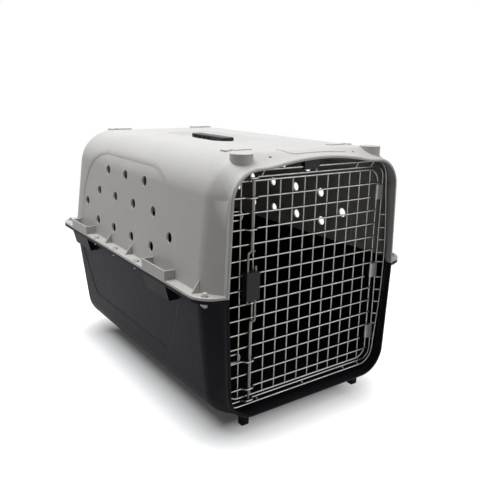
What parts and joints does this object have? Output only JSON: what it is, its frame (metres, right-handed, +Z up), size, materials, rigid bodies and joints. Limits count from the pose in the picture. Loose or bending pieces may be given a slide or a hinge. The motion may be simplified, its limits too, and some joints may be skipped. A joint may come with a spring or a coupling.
{
  "type": "pet carrier",
  "caption": "Two-part moulded pet carrier with a bolted flange, a swinging wire door with a squeeze latch, round air holes and a lifting roof handle.",
  "frame": {"origin": "middle of the footprint, on the ground", "axes": "+X to the right seen from the door, +Y from the door to the back, +Z up"},
  "size_m": [0.4808, 0.676, 0.4835],
  "materials": {
    "upper_plastic": "satin moulded, light warm grey",
    "lower_plastic": "satin moulded, charcoal",
    "black_plastic": "fine textured, near black",
    "zinc_wire": "bright zinc plate",
    "bronze_rod": "dull zinc plate",
    "bolt_steel": "zinc plate",
    "nut_plastic": "moulded, light grey",
    "spring_steel": "plain spring wire"
  },
  "bodies": {
    "root": {"upper_shell": "upper_plastic", "lower_shell": "lower_plastic", "flange_bolts": "bolt_steel", "flange_nuts": "bolt_steel", "corner_bolts": "nut_plastic", "corner_washers": "bolt_steel", "wing_nuts": "nut_plastic", "surround_inner_wire": "zinc_wire", "surround_outer_wire": "zinc_wire", "surround_cross_wires": "zinc_wire", "door_stop_loops": "zinc_wire", "surround_top_tab": "black_plastic"},
    "door": {"door_frame_wire": "zinc_wire", "door_column_wires": "zinc_wire", "door_row_wires": "zinc_wire", "hinge_clip_top": "zinc_wire", "hinge_clip_middle": "zinc_wire", "hinge_clip_bottom": "zinc_wire", "latch_block": "black_plastic", "latch_back_plate": "black_plastic", "latch_screws": "bolt_steel", "upper_latch_spring": "spring_steel", "lower_latch_spring": "spring_steel"},
    "upper_rod": {"upper_latch_rod": "bronze_rod"},
    "lower_rod": {"lower_latch_rod": "bronze_rod"},
    "handle": {"carry_handle": "black_plastic", "handle_stop_washers": "bolt_steel", "handle_stop_screws": "bolt_steel"}
  },
  "joints": [
    {"name": "door_hinge", "type": "hinge", "parent": "root", "child": "door", "pos_m": [0.1852, -0.3045, 0.244], "axis": [0, 0, 1], "range_deg": [0, 60]},
    {"name": "upper_rod_slide", "type": "slide", "parent": "door", "child": "upper_rod", "axis": [0, 0, 1], "range_m": [0, 0.0075], "stiffness_N_per_m": 400, "springref_m": 0.0075, "deforming": ["upper_latch_spring"]},
    {"name": "lower_rod_slide", "type": "slide", "parent": "door", "child": "lower_rod", "axis": [0, 0, -1], "range_m": [0, 0.0075], "stiffness_N_per_m": 400, "springref_m": 0.0075, "deforming": ["lower_latch_spring"]},
    {"name": "handle_lift", "type": "slide", "parent": "root", "child": "handle", "axis": [0, 0, 1], "range_m": [0, 0.025]}
  ],
  "couplings": [
    {"joint": "lower_rod_slide", "follows": "upper_rod_slide", "ratio": 1}
  ]
}
